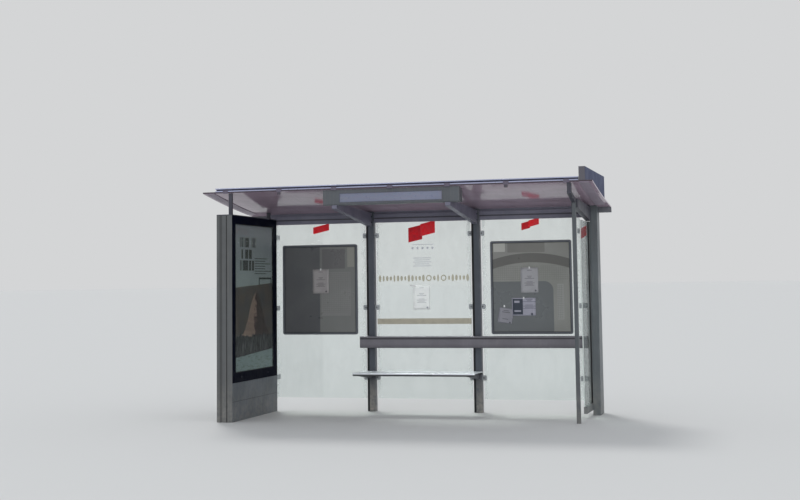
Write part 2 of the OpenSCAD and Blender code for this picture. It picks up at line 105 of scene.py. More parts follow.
class Look:
    """A node material round one Principled shader. Its coordinates are the object's own: world metres on
    the CAD nodes and on most pieces, and the sheet's own plane on the papers."""

    def __init__(self, name, **values):
        self.material = bpy.data.materials.new(name)
        self.material.use_nodes = True
        self.tree = self.material.node_tree
        self.shader = self.tree.nodes["Principled BSDF"]
        self.here = self.new("TexCoord").outputs["Object"]
        self.parts = {}
        for socket, value in values.items():
            self.set(socket.replace("_", " "), value)

    def new(self, kind, inputs=None, **settings):
        return add(self.tree, kind, inputs, **settings)

    def set(self, socket, value):
        feed(self.shader.inputs[socket], value)

    def paint(self, tone):
        self.set("Base Color", tone)

    def calc(self, operation, a, b=0, clamp=False):
        return self.new("Math", {0: a, 1: b}, operation=operation, use_clamp=clamp).outputs[0]

    def plus(self, a, b, clamp=False):
        return self.calc("ADD", a, b, clamp)

    def minus(self, a, b):
        return self.calc("SUBTRACT", a, b)

    def over(self, a, b):
        return self.calc("DIVIDE", a, b)

    def times(self, first, *others):
        """The product of several values or masks."""
        for other in others:
            first = self.calc("MULTIPLY", first, other)
        return first

    def part(self, source, axis):
        """One component of a vector output."""
        if source not in self.parts:
            self.parts[source] = self.new("SeparateXYZ", {0: source})
        return self.parts[source].outputs["XYZ".index(axis)]

    def along(self, axis):
        """The coordinate along one axis."""
        return self.part(self.here, axis)

    def normal(self):
        if "normal" not in self.parts:
            self.parts["normal"] = self.new("NewGeometry").outputs["Normal"]
        return self.parts["normal"]

    def facing(self, axis):
        """The surface normal along one axis."""
        return self.part(self.normal(), axis)

    def ramp(self, value, low, high, start=0, end=1):
        """Maps a range smoothly onto another, held at both ends."""
        ends = {"From Min": low, "From Max": high, "To Min": start, "To Max": end}
        made = self.new("MapRange", {"Value": value, **ends}, interpolation_type="SMOOTHSTEP")
        return made.outputs["Result"]

    def fall(self, value, low, high):
        """1 below a range, 0 above it."""
        return self.ramp(value, low, high, 1, 0)

    def mix(self, factor, a, b):
        return self.new("Mix", {0: factor, 6: a, 7: b}, data_type="RGBA").outputs[2]

    def rough(self, pattern, low, high):
        """Roughness that follows a pattern between two values."""
        self.set("Roughness", self.ramp(pattern, 0.3, 0.7, low, high))

    def noise(self, scale, detail=4, rough=0.55, shift=0):
        """Soft noise. The scale is in cells a metre, along x, y and z or the same along each."""
        if isinstance(scale, (int, float)):
            scale = (scale, scale, scale)
        start = (shift, 0.6 * shift, 0.3 * shift)
        place = self.new("Mapping", {"Vector": self.here, "Scale": scale, "Location": start})
        grain = {"Scale": 1, "Detail": detail, "Roughness": rough}
        return self.new("TexNoise", {"Vector": place.outputs["Vector"], **grain}).outputs["Fac"]

    def chance(self, value, seed):
        """A number from 0 to 1 that changes with each whole step of a value."""
        step = self.plus(self.calc("FLOOR", value), seed)
        return self.new("TexWhiteNoise", {"W": step}, noise_dimensions="1D").outputs["Value"]

    def less(self, mask):
        """What a mask leaves out."""
        return self.calc("SUBTRACT", 1, mask, clamp=True)

    def band(self, value, low, high, soft=0.0015):
        """1 where a value lies in a range, 0 outside it."""
        above = self.ramp(value, low - soft, low + soft)
        return self.times(above, self.fall(value, high - soft, high + soft))

    def patch(self, u, v, low, high, soft=0.0015):
        """1 inside a rectangle between two corners."""
        return self.times(self.band(u, low[0], high[0], soft), self.band(v, low[1], high[1], soft))

    def soft_patch(self, u, v, low, high, r):
        """1 inside a rectangle with round corners."""
        soft, off = 0.002, []
        for value, a, b in ((u, low[0], high[0]), (v, low[1], high[1])):
            reach = self.calc("ABSOLUTE", self.minus(value, (a + b) / 2))
            off.append(self.calc("MAXIMUM", self.minus(reach, (b - a) / 2 - r), 0))
        corner = self.calc("SQRT", self.plus(self.times(off[0], off[0]), self.times(off[1], off[1])))
        return self.fall(corner, r - soft, r + soft)

    def blob(self, u, v, middle, radii, soft):
        """1 inside an ellipse."""
        a = self.over(self.minus(u, middle[0]), radii[0])
        b = self.over(self.minus(v, middle[1]), radii[1])
        reach = self.plus(self.times(a, a), self.times(b, b))
        return self.fall(reach, 1 - soft, 1 + soft)

    def worn_edges(self):
        """1 along the sharp edges of a piece, broken up as wear is."""
        round_off = self.new("Bevel", {"Radius": 0.0025}, samples=6)
        ways = {0: round_off.outputs["Normal"], 1: self.normal()}
        turn = self.new("VectorMath", ways, operation="DOT_PRODUCT")
        edge = self.fall(turn.outputs["Value"], 0.9, 0.995)
        return self.times(edge, self.ramp(self.noise(26, 5, 0.65, shift=17), 0.42, 0.62))

    def finish(self, *layers):
        """Stacks height layers, each given as (height, distance in metres), and gives the material."""
        below = {}
        for height, distance in layers:
            made = self.new("Bump", {"Strength": 1, "Distance": distance, "Height": height, **below})
            below = {"Normal": made.outputs["Normal"]}
        self.set("Normal", below["Normal"])
        return self.material


# Materials

def weather(look, colour, rough, run=0.14, foot=0.45, worn=0.22, dark=None):
    """Gives a metal its uneven tone, rain streaks, scuffed edges and the dust near the ground, and returns
    its colour. Where a function gives dark places, they are darkened: painted shade in grooves and flutes
    and along the lean rail's lower edge, and a dark joint along the base panels' seam."""
    patches = look.noise(5, 5)
    streaks = look.ramp(look.noise((70, 70, 1.3), 5, shift=3), 0.5, 0.74)
    splash = look.fall(look.along("Z"), 0, 0.6)
    grime = look.times(splash, look.ramp(look.noise(14, 6, 0.65, shift=9), 0.25, 0.7))
    edges = look.times(look.worn_edges(), worn)
    tone = look.mix(look.ramp(patches, 0.35, 0.65, 0, 0.4), colour, scaled(colour, 0.87))
    tone = look.mix(look.times(streaks, run), tone, DUST)
    tone = look.mix(edges, tone, scaled(colour, 1.5))
    tone = look.mix(look.times(grime, foot), tone, DUST)
    # painted shade in grooves, flutes and under the lean rail; a real dark joint at the panel seam
    if dark:
        tone = look.mix(look.times(dark(look), 0.8), tone, scaled(colour, 0.42))
    look.paint(tone)
    uneven = look.ramp(patches, 0.3, 0.7, rough - 0.05, rough + 0.07)
    look.set("Roughness", look.plus(uneven, look.times(grime, 0.22), clamp=True))
    return tone


def case_flutes(look):
    """Painted shade in the two flutes down each end of the poster case."""
    ends = look.fall(look.calc("ABSOLUTE", look.facing("Z")), 0.3, 0.5)
    body = look.times(ends, look.fall(look.along("Z"), 2.352, 2.354))
    wide = look.band(look.along("X"), (CASE_X - 56) / 1000, (CASE_X - 24) / 1000)
    narrow = look.band(look.along("X"), (CASE_X + 24) / 1000, (CASE_X + 37) / 1000)
    return look.times(body, look.plus(look.times(wide, 0.6), narrow, clamp=True))


def panel_seam(look):
    return look.band(look.along("Z"), 0.2245, 0.2295, 0.0008)


# Painted shade in the groove along the beams.
def beam_groove(look):
    return look.band(look.along("Z"), 2.344, 2.36, 0.002)


def rail_groove(look):
    """Painted shade in the groove of the rail to lean on and along its lower edge."""
    low = look.ramp(look.along("Z"), LEAN_RAIL_FOOT / 1000, 0.83, 0.45, 0)
    return look.calc("MAXIMUM", low, look.band(look.along("Z"), 0.875, 0.893, 0.003))


def paint_skin(look):
    """The slight waviness of sheet and extrusion under paint, and the paint's fine orange peel."""
    return look.finish((look.noise(2.2, 2), 0.004), (look.noise(420, 3), 0.00012))


def enamel(name, colour, rough=0.42, foot=0.45, dark=None):
    look = Look(name)
    weather(look, colour, rough, foot=foot, dark=dark)
    return paint_skin(look)


def black_enamel(name, colour):
    """The deep black of the poster doors, with faint smears and dust in its lower part."""
    look = Look(name, Specular_IOR_Level=0.005)
    smears = look.ramp(look.noise((9, 9, 3), 6, 0.65), 0.5, 0.8, 0, 0.02)
    low = look.ramp(look.along("Z"), 0.4, 0.8, 0.018, 0)
    dust = look.times(low, look.ramp(look.noise(24, 5), 0.3, 0.7))
    tone = look.mix(look.plus(smears, dust, clamp=True), colour, DUST)
    look.paint(look.mix(look.times(look.worn_edges(), 0.3), tone, (70, 72, 80)))
    look.rough(look.noise(12, 4, shift=6), 0.32, 0.46)
    return look.finish((look.noise(2, 2), 0.003), (look.noise(420, 3), 0.00008))


def anodised(name, colour, rough=0.38, metallic=0.65, along="Z", dark=None):
    """Anodised aluminium, with the fine drawn lines of an extrusion along one axis."""
    look = Look(name, Metallic=metallic)
    weather(look, colour, rough, run=0.12, worn=0.25, dark=dark)
    scale = [900, 900, 900]
    scale["XYZ".index(along)] = 4
    return look.finish((look.noise(1.6, 2), 0.003), (look.noise(tuple(scale), 3), 0.0001))


def sky_shaded_panel_paint(name, side, front):
    """Paint that is darker and bluer on the panel's broad sides than on its front edge: the sides' blue is
    painted shade under the sky.
    """
    look = Look(name, Specular_IOR_Level=0.1)
    tone = weather(look, side, 0.5, run=0.06)
    ahead = look.fall(look.facing("Y"), -0.8, -0.5)
    # The broad sides take the bluer colour as painted shade; the front edge keeps the lighter grey.
    look.paint(look.mix(ahead, tone, front))
    return paint_skin(look)


def front_rail_lit_and_shaded(name, colour):
    """The rail along the roof: bright lavender flanges, partly a painted sky highlight, and uneven painted
    shade in the channel between them.
    """
    look = Look(name, Metallic=0.3)
    # The channel behind the flanges takes a dark colour: painted shade.
    deep = look.ramp(look.along("Y"), at(0, -ROOF_FRONT + 4, 0).y, at(0, -ROOF_FRONT + 20, 0).y)
    dirt_and_shade = look.times(deep, look.ramp(look.noise((8, 60, 60), 5), 0.25, 0.6, 0.75, 1))
    tone = look.mix(look.ramp(look.noise((2, 30, 30), 5), 0.3, 0.7), colour, scaled(colour, 0.9))
    look.paint(look.mix(dirt_and_shade, tone, (72, 73, 98)))
    smooth = look.ramp(look.noise(40), 0.3, 0.7, 0.26, 0.36)
    look.set("Roughness", look.plus(smooth, look.times(dirt_and_shade, 0.3)))
    return look.finish((look.noise(1.6, 2), 0.003), (look.noise((4, 900, 900), 3), 0.0001))


def stainless(name, colour):
    """Brushed sheet for the bench, rubbed smooth in places, with painted shade on the faces below its top."""
    look = Look(name, Metallic=0.35, Anisotropic=0.4)
    rub = look.noise((3, 14, 14), 5, shift=5)
    top = look.ramp(look.along("Z"), 0.476, 0.484)
    tone = look.mix(look.ramp(rub, 0.35, 0.7, 0, 0.5), colour, scaled(colour, 0.94))
    # Below the top the colour falls to about a quarter: painted shade on the seat's front lip.
    look.paint(look.mix(top, scaled(colour, 0.26), tone))
    look.rough(rub, 0.24, 0.42)
    return look.finish((look.noise(4, 2), 0.002), (look.noise((5, 700, 700), 4), 0.00014))


def glossy_roof(name, colour):
    """The roof sheet: a smooth laminate, dull with dust on its top, with painted shade along its front edge.
    """
    look = Look(name, Specular_IOR_Level=0.15)
    up = look.ramp(look.facing("Z"), 0.2, 0.6)
    ahead = look.fall(look.facing("Y"), -0.8, -0.5)
    patches = look.noise((2, 5, 5), 5)
    washed = look.ramp(look.noise((24, 0.9, 1), 7, 0.62), 0.3, 0.72, 0.16, 0.56)
    pooled = look.ramp(look.along("Y"), at(0, -260, 0).y, at(0, ROOF_REAR, 0).y, 0, 0.34)
    specks = look.ramp(look.noise(70, 4, 0.7, shift=8), 0.6, 0.74, 0, 0.3)
    dirt_and_shade = look.times(up, look.plus(look.plus(washed, pooled), specks, clamp=True))
    runs = look.ramp(look.noise((28, 2, 1), 5, 0.6, shift=6), 0.52, 0.8, 0, 0.3)
    drips = look.times(look.less(up), runs)
    tone = look.mix(look.ramp(patches, 0.35, 0.68, 0, 0.5), colour, scaled(colour, 1.1))
    tone = look.mix(drips, tone, scaled(colour, 0.82))
    # The front edge is darkened to half: painted shade.
    tone = look.mix(ahead, tone, scaled(colour, 0.5))
    look.paint(look.mix(dirt_and_shade, tone, DUST))
    smooth = look.ramp(patches, 0.3, 0.7, 0.06, 0.12)
    dull = look.plus(look.times(up, 0.32), look.times(dirt_and_shade, 0.25))
    look.set("Roughness", look.plus(smooth, dull))
    return look.finish((look.noise((1.2, 3, 3), 2), 0.0015), (look.noise(300, 3), 0.00004))


def lit_plastic(name, colour):
    """Opal plastic over the light strip, with the fittings behind it faintly showing."""
    look = Look(name, Subsurface_Weight=0.1)
    dirt_and_shade = look.ramp(look.noise((3, 20, 30), 5), 0.5, 0.8, 0, 0.25)
    tubes = look.ramp(look.noise((1.4, 0.1, 6), 2, shift=4), 0.35, 0.65, 0, 0.5)
    tone = look.mix(tubes, colour, scaled(colour, 1.1))
    look.paint(look.mix(dirt_and_shade, tone, DUST))
    look.rough(look.noise(30), 0.26, 0.38)
    return look.finish((look.noise(500, 2), 0.00006))


def pass_light(look, tint):
    """Lets the lamps shine through a clear material, tinted, so that its shadow stays pale."""
    through = look.new("BsdfTransparent")
    through.inputs["Color"].default_value = tint
    shadow = look.new("LightPath").outputs["Is Shadow Ray"]
    blend = look.new("MixShader", {0: shadow, 1: look.shader.outputs[0], 2: through.outputs[0]})
    feed(look.tree.nodes["Material Output"].inputs["Surface"], blend.outputs[0])


def glass(name, rim, dusty=0.1, thin_axis="Y", ior=1.45):
    """Toughened glass, with pale and dull cut edges and dust on its faces. Where a function gives the
    distance to the nearest upright edge, the glass is etched white beside that edge."""
    look = Look(name, IOR=ior)
    across = look.calc("ABSOLUTE", look.facing(thin_axis))
    cut = look.fall(across, 0.3, 0.8)
    haze = look.noise((4, 4, 2), 6, 0.62)
    spots = look.ramp(look.noise((30, 30, 9), 6, 0.7, shift=2), 0.55, 0.8)
    low = look.ramp(look.along("Z"), 0.15, 1, 0.6, 0)
    film = look.times(look.plus(look.ramp(haze, 0.3, 0.75, 0.3, 1), low), dusty)
    film = look.plus(film, look.times(spots, 0.5 * dusty))
    if rim is not None:
        ragged = look.ramp(look.noise((24, 24, 9), 7, 0.75, shift=7), 0.3, 0.7, -0.035, 0.045)
        frost = look.fall(look.plus(rim(look), ragged), -0.01, 0.06)
        film = look.plus(film, look.times(frost, 0.16))
        haze = look.plus(haze, look.times(frost, 6))
    film = look.calc("MINIMUM", film, 0.9)
    look.paint(look.mix(cut, look.mix(film, (247, 252, 250), (226, 231, 230)), (232, 240, 235)))
    look.set("Transmission Weight", look.less(look.calc("MAXIMUM", film, look.times(cut, 0.8))))
    clear = look.ramp(haze, 0.3, 0.8, 0.015, 0.06)
    etched = look.ramp(haze, 1, 6, 0, 0.5)
    look.set("Roughness", look.calc("MAXIMUM", look.plus(clear, etched), look.times(cut, 0.45)))
    pass_light(look, (0.86, 0.9, 0.88, 1))
    return look.finish((look.noise(1.5, 1), 0.0008))


def pane_rim(look):
    """Distance to the nearest upright edge of the three back panes."""
    bay = look.calc("FRACT", look.plus(look.over(look.along("X"), BAY / 1000), 10.5))
    from_middle = look.calc("ABSOLUTE", look.minus(bay, 0.5))
    return look.minus(PANE_HALF / 1000, look.times(from_middle, BAY / 1000))


def side_pane_rim(look):
    """Distance to the front edge of the side pane."""
    return look.minus(look.along("Y"), at(0, SIDE_PANE_FRONT, 0).y)


def rubber(name, colour=(17, 18, 20)):
    """Dull rubber or plastic, with its grain."""
    look = Look(name, Specular_IOR_Level=0.35)
    grain = look.noise(260, 4)
    look.paint(look.mix(look.ramp(grain, 0.4, 0.8, 0, 0.5), colour, scaled(colour, 1.9)))
    look.rough(grain, 0.5, 0.72)
    return look.finish((grain, 0.0002))


def fastener(name, colour=(126, 128, 130)):
    """Plated steel, with rust in a few spots."""
    look = Look(name, Metallic=0.9)
    rust = look.ramp(look.noise(60, 5, 0.7), 0.6, 0.74)
    look.paint(look.mix(rust, colour, (104, 82, 66)))
    look.rough(look.noise(180, 3), 0.28, 0.5)
    return look.finish((look.noise(600, 3), 0.00012))


def foil(name, colour, scuffed):
    """Coloured foil on the glass, a little faded and scuffed."""
    look = Look(name, Specular_IOR_Level=0.25)
    scuff = look.noise(22, 6, 0.7)
    look.paint(look.mix(look.ramp(scuff, 0.38, 0.72), colour, scuffed))
    look.rough(scuff, 0.22, 0.42)
    return look.finish((look.noise(70, 4), 0.0002))


def print_surface(look, tone, rough=0.3):
    """Finishes a printed face: faint mottling and the dull spots of handling."""
    mottle = look.noise(3, 5, 0.6, shift=11)
    grain = look.noise(500, 2)
    tone = look.mix(look.ramp(mottle, 0.3, 0.7, 0, 0.12), tone, (84, 84, 84))
    look.paint(look.mix(look.ramp(grain, 0.3, 0.8, 0, 0.04), tone, (160, 160, 156)))
    look.rough(mottle, rough - 0.05, rough + 0.12)
    return look.finish((look.noise(1.8, 2), 0.002), (grain, 0.00004))


def poster_rows(look, u, v, tone):
    """Three rows of plain upright bars, a block of ragged lines and an open frame."""
    step = look.times(u, 44)
    gaps = look.band(look.calc("FRACT", step), 0.08, 0.94, 0.05)
    for low, high, right, seed in (
        (1.997, 2.112, 0.06, 3), (1.862, 1.97, -0.07, 41), (1.722, 1.842, 0, 87),
    ):
        bars = look.ramp(look.chance(step, seed), 0.36, 0.42)
        shown = look.times(look.patch(u, v, (-0.45, low), (right, high)), bars, gaps)
        tone = look.mix(shown, tone, (30, 29, 23))
    row = look.over(v, 0.03)
    lines = look.band(look.calc("FRACT", row), 0.1, 0.42, 0.08)
    length = look.ramp(look.chance(row, 5), 0, 1, 0.36, 0.56)
    ragged = look.ramp(look.minus(length, u), 0, 0.01)
    text = look.times(look.patch(u, v, (0.02, 1.68), (0.56, 1.88)), lines, ragged)
    tone = look.mix(text, tone, (66, 68, 68))
    inside = look.patch(u, v, (0.176, 1.557), (0.534, 1.62))
    frame_line = look.times(look.patch(u, v, (0.15, 1.535), (0.56, 1.642)), look.less(inside))
    return look.mix(frame_line, tone, (48, 52, 52))


def poster_picture(look, u, v):
    """A rock peak with a lit and a shaded side, behind dark grasses."""
    ground = look.mix(look.ramp(look.noise(6, 5), 0.35, 0.7), (78, 75, 75), (92, 82, 75))
    off = look.over(look.minus(u, 0.06), 0.27)
    rise = look.calc("EXPONENT", look.times(off, off, -1))
    crest = look.plus(look.times(rise, 0.54), look.times(look.noise(11, 6, 0.6), 0.14))
    peak = look.fall(look.minus(v, crest), 0.856, 0.862)
    ridge = look.plus(off, look.times(look.noise((6, 6, 9), 5, 0.65, shift=4), 1.8))
    layers = look.ramp(look.noise((4, 4, 34), 5, 0.6, shift=6), 0.35, 0.65, 0, 0.5)
    sunny = look.mix(layers, (146, 122, 112), (114, 94, 88))
    shaded = look.mix(layers, (74, 60, 60), (56, 47, 50))
    rock = look.mix(look.fall(ridge, 0.84, 0.94), shaded, sunny)
    near = look.plus(0.9, look.times(look.noise(9, 5, 0.6, shift=3), 0.12))
    blades = look.ramp(look.noise((44, 44, 6), 3, 0.6, shift=2), 0.5, 0.64)
    grasses = look.mix(blades, (18, 17, 26), (84, 80, 84))
    return look.mix(look.fall(look.minus(v, near), -0.004, 0.004), look.mix(peak, ground, rock), grasses)


def above_line(look, u, v, height, slope):
    """How far a place lies above a sloping line."""
    return look.minus(look.minus(v, height), look.times(u, slope))


def poster_print(name):
    """A generic poster: plain bars over pale ground, a rock peak behind grasses and a pale sloping foot."""
    look = Look(name, Specular_IOR_Level=0.03)
    middle = at(0, (DOOR_LOW[0] + DOOR_HIGH[0]) / 2, 0).y
    side = look.calc("SIGN", look.minus(look.along("X"), CASE_X / 1000))
    u = look.times(look.minus(look.along("Y"), middle), side)
    v = look.along("Z")
    pale = look.mix(look.ramp(v, 1.5, 2.25), (147, 155, 156), (132, 134, 141))
    border = above_line(look, u, v, 1.548, 0.047)
    upper = look.ramp(border, -0.0015, 0.0015)
    tone = look.mix(upper, poster_picture(look, u, v), poster_rows(look, u, v, pale))
    line = look.times(look.band(border, 0, 0.008), look.fall(u, -0.06, -0.02))
    tone = look.mix(line, tone, (128, 130, 126))
    foot = look.fall(above_line(look, u, v, 0.7465, 0.05), -0.002, 0.002)
    streaks = look.ramp(look.noise((9, 9, 60), 4, 0.6, shift=8), 0.52, 0.7)
    tone = look.mix(foot, tone, look.mix(streaks, (128, 143, 144), (96, 108, 108)))
    return print_surface(look, tone, 0.45)


def board_print_and_reflections(name, middle, tones, blocks, grids, curve=None):
    """Map tones with painted reflections: blocks of tone and fine grids copy what the boards' glass mirrors,
    with at most one broad curved band. Plain behind.
    """
    look = Look(name, Coat_Weight=0.25, Coat_Roughness=0.08)
    u = look.minus(look.along("X"), middle / 1000)
    v = look.along("Z")
    tone = look.mix(look.ramp(look.noise(2.5, 4), 0.35, 0.65), tones[0], tones[1])
    for low, high, colour, round_off in blocks:
        tone = look.mix(look.soft_patch(u, v, low, high, round_off), tone, colour)
    for low, high, pitch, colour in grids:
        for value in (u, v):
            cell = look.calc("FRACT", look.over(look.plus(value, 3), pitch))
            line = look.times(look.band(cell, 0, 0.16, 0.05), look.patch(u, v, low, high, 0.01))
            tone = look.mix(look.times(line, 0.55), tone, colour)
    if curve:
        height, sag, half, colour = curve
        arc = look.plus(height, look.times(u, u, -sag))
        road = look.band(look.minus(v, arc), -half, half, 0.004)
        tone = look.mix(road, tone, colour)
    behind = look.ramp(look.facing("Y"), 0.5, 0.9)
    return print_surface(look, look.mix(behind, tone, (118, 120, 121)))


def notice(name, paper, ink, size, rows, dark_part, thin):
    """A small paper with generic grey bars, a dark mark near its foot and, on one kind, a dark left part.
    The last value says how much of the light behind it comes through."""
    look = Look(name, Subsurface_Weight=thin, Subsurface_Radius=(1, 1, 1), Subsurface_Scale=0.002)
    u = look.over(look.along("X"), size[0] / 1000)
    v = look.over(look.along("Y"), size[1] / 1000)
    row = look.times(v, rows)
    reach = look.ramp(look.chance(row, 7), 0, 1, 0.1, 0.3)
    middle = 0.5 + dark_part / 2
    off = look.calc("ABSOLUTE", look.minus(u, middle))
    shown = look.ramp(look.chance(row, 23), 0.42, 0.46)
    lines = look.band(look.calc("FRACT", row), 0.3, 0.68, 0.06)
    ends = look.ramp(look.minus(reach, off), 0, 0.01)
    bars = look.times(lines, ends, look.band(v, 0.2, 0.92, 0.005), shown)
    mark = look.blob(u, v, (0.84, 0.08), (0.055, 0.055 * size[0] / size[1]), 0.2)
    crumple = look.noise(14, 5, 0.6, shift=5)
    tone = look.mix(look.ramp(crumple, 0.35, 0.7, 0, 0.35), paper, scaled(paper, 0.9))
    if dark_part:
        tone = look.mix(look.patch(u, v, (0.04, 0.06), (dark_part, 0.94), 0.006), tone, ink)
        tone = look.mix(look.patch(u, v, (0.1, 0.72), (0.32, 0.84), 0.01), tone, paper)
        tone = look.mix(look.patch(u, v, (0.1, 0.22), (0.38, 0.3), 0.01), tone, paper)
    tone = look.mix(look.times(look.plus(bars, mark, clamp=True), 0.85), tone, ink)
    look.paint(tone)
    look.rough(crumple, 0.45, 0.6)
    return look.finish((crumple, 0.0018), (look.noise(300, 3), 0.0001))


# Mesh helpers

def put(name, data):
    """A new object in the scene."""
    made = bpy.data.objects.new(name, data)
    bpy.context.scene.collection.objects.link(made)
    return made


def piece(name, bm, material, smooth=False, place=None):
    """Turns a bmesh into a piece that rides on the shelter."""
    mesh = bpy.data.meshes.new(name)
    bmesh.ops.recalc_face_normals(bm, faces=bm.faces)
    bm.to_mesh(mesh)
    bm.free()
    mesh.materials.append(material)
    mesh.polygons.foreach_set("use_smooth", [smooth] * len(mesh.polygons))
    made = put(name, mesh)
    if place is not None:
        made.matrix_world = place
    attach(made, "root")
    return made


def soften(made, width):
    """Rounds the hard edges of a piece or a CAD node."""
    weld = made.modifiers.new("weld", "WELD")
    weld.merge_threshold = 0.00002
    bevel = made.modifiers.new("edges", "BEVEL")
    bevel.width = width
    bevel.segments = 2
    bevel.limit_method = "ANGLE"
    bevel.angle_limit = math.radians(32)
    bevel.harden_normals = True


def lathe(bm, centre, out, r, profile, segments=18):
    """Revolves (radius, height) points, both in parts of a radius in millimetres, round an axis."""
    out = Vector(out).normalized()
    side = out.orthogonal().normalized()
    up = out.cross(side)
    rings = []
    for radius, height in profile:
        hub = centre + out * (height * r) / 1000
        turns = [2 * math.pi * i / segments for i in range(segments if radius else 1)]
        ring = [hub + (side * math.cos(a) + up * math.sin(a)) * (radius * r) / 1000 for a in turns]
        rings.append([bm.verts.new(point) for point in ring])
    for low, high in zip(rings, rings[1:]):
        for i in range(segments):
            j = (i + 1) % segments
            corners = [low[i % len(low)], low[j % len(low)], high[j % len(high)], high[i % len(high)]]
            corners = list(dict.fromkeys(corners))
            if len(corners) > 2:
                bm.faces.new(corners)


def dome_bolt(bm, centre, out, r):
    """A domed bolt on a washer, with a hexagon socket."""
    lathe(bm, centre, out, r, [(0, 0), (1.45, 0), (1.45, 0.16), (1.38, 0.22), (0, 0.22)])
    lathe(bm, centre, out, r, [(0, 0.2), (1, 0.2), (1, 0.36), (0.9, 0.56), (0.7, 0.72), (0.46, 0.8)])
    lathe(bm, centre, out, r, [(0.46, 0.8), (0.4, 0.78), (0.38, 0.4), (0, 0.4)], 6)


def flat_screw(bm, centre, out, r):
    """A raised countersunk screw with a hexagon socket."""
    lathe(bm, centre, out, r, [(0, -0.1), (1, 0), (0.9, 0.14), (0.6, 0.24), (0.36, 0.26)])
    lathe(bm, centre, out, r, [(0.36, 0.26), (0.34, 0.02), (0, 0.02)], 6)


def soft_corners(low, high, r):
    """The outline of a rectangle with rounded corners."""
    steps = 5
    left, right, foot, top = low[0] + r, high[0] - r, low[1] + r, high[1] - r
    points = []
    for quarter, (cu, cv) in enumerate(((right, top), (left, top), (left, foot), (right, foot))):
        for i in range(steps + 1):
            a = (quarter + i / steps) * math.pi / 2
            points.append((cu + r * math.cos(a), cv + r * math.sin(a)))
    return points


def oval(u, v, half, tall, count=24):
    """The outline of an ellipse."""
    turns = [2 * math.pi * k / count for k in range(count)]
    return [(u + half * math.cos(a), v + tall * math.sin(a)) for a in turns]


def join_loops(bm, loops):
    """Skins a row of equal loops of vertices."""
    for one, two in zip(loops, loops[1:]):
        for i in range(len(one)):
            j = (i + 1) % len(one)
            bm.faces.new([one[i], one[j], two[j], two[i]])


def bead(bm, place, low, high, r, profile):
    """Sweeps a closed profile of (inset, height) points round a rounded rectangle."""
    loops = []
    for inset, height in profile:
        inner_low, inner_high = [c + inset for c in low], [c - inset for c in high]
        outline = soft_corners(inner_low, inner_high, max(r - inset, 0.5))
        loops.append([bm.verts.new(place(u, v, height)) for u, v in outline])
    join_loops(bm, loops + [loops[0]])


def prism(bm, place, outline, low, high):
    """A solid between two heights over a flat outline. The place function turns (u, v, height) into a
    place in the frame: at() itself for a plan, or one of those below."""
    rings = [[bm.verts.new(place(u, v, w)) for u, v in outline] for w in (low, high)]
    join_loops(bm, rings)
    for ring in rings:
        bm.faces.new(ring)


def on_back(y):
    """Places (x, z, height) on an upright plane that faces the road."""
    return lambda u, v, w: at(u, y - w, v)


def on_side(x, out):
    """Places (y, z, height) on a plane across the road, which faces along x."""
    return lambda u, v, w: at(x + out * w, u, v)


def made_of(name, make, solids, material):
    """One piece of several solids, each made by the same function from arguments of its own."""
    bm = bmesh.new()
    for solid in solids:
        make(bm, *solid)
    return piece(name, bm, material)


# Fittings of the poster case

def case_gaskets(material):
    """A rubber bead round each poster opening, between the door and its glass."""
    lip = [(-6, 0), (-5, 1.6), (-1, 2.2), (3, 1.2), (3, -1), (0, -1), (0, 0)]
    for name, out in (("inner", 1), ("outer", -1)):
        place = on_side(CASE_X + CASE_HALF * out, out)
        made_of("door_gasket_" + name, bead, [(place, DOOR_LOW, DOOR_HIGH, 8, lip)], material)


def door_lock(bm, centre, out, r):
    """A round lock with a three-sided key pin."""
    rim = [(0, 0), (1, 0), (1, 0.16), (0.87, 0.28), (0.69, 0.28), (0.66, 0.09), (0, 0.09)]
    lathe(bm, centre, out, r, rim, 24)
    lathe(bm, centre, out, r, [(0.4, 0.05), (0.4, 0.24), (0, 0.24)], 3)


def case_fittings(metal):
    """The locks under the doors, and the screws of the upper and the lower base panels."""
    lock_z, upper_rows, lower_row = 497, (255, 414), 40
    columns = (-1535, -1100, -640, -190)
    locks, screws = [], []
    for out in (-1, 1):
        face, way = CASE_X + CASE_HALF * out, (out, 0, 0)
        locks += [(at(face, y, lock_z), way, 10) for y in (-1290, -470)]
        screws += [(at(face, y, z), way, 5) for y in columns for z in upper_rows]
        screws += [(at(face, y, lower_row), way, 5) for y in (columns[0], columns[-1])]
    made_of("door_locks", door_lock, locks, metal)
    made_of("base_panel_screws", flat_screw, screws, metal)


# Fittings of the posts, panes and boards

def post_strips(material):
    """The ribbed cover in the rebate down the front of each middle post. Its dark rubber partly paints the
    shade seen down that rebate.
    """
    left, right, back, face, crest, valley = -49.5, -22.8, -33.2, -42, -43.6, -41.6
    pitch, foot, top = 6.2, 4, 2400
    section = [(left, back), (left, face)]
    for i in range(4):
        x = left + 1.5 + pitch * i
        section += [(x, crest), (x + 3.6, crest), (x + 4.4, valley), (x + 5.4, valley)]
    section += [(right, face), (right, back)]
    for name, x in (("left", -POST_X), ("right", POST_X)):
        outline = [(x + u, v) for u, v in section]
        made_of("post_strip_" + name, prism, [(at, outline, foot, top)], material)


def channel_seal(material):
    """The lip seal between the end post and the channel of the side pane."""
    foot, top = 140, 2243
    section = [
        (2030.4, -105.2), (2030.4, -114), (2033, -117.6), (2038, -118.6),
        (2043, -117.6), (2045.6, -114), (2045.6, -105.2),
    ]
    made_of("channel_seal", prism, [(at, section, foot, top)], material)


def clamp_bolts(metal):
    """The bolts of the clamps, on both faces of the panes."""
    half_clamp = 17
    spots = []
    for z in CLAMP_Z:
        for x in (-PANE_HALF, PANE_HALF, -BAY + PANE_HALF, BAY - PANE_HALF, BAY + PANE_HALF):
            towards_post = 1 if (x > 0) == (abs(x) < POST_X or x > BAY) else -1
            for way, y in ((FRONT, -half_clamp), (BACK, half_clamp)):
                spots.append((at(x + 2.5 * towards_post, y, z + 30), way, 7))
    made_of("clamp_bolts", dome_bolt, spots, metal)


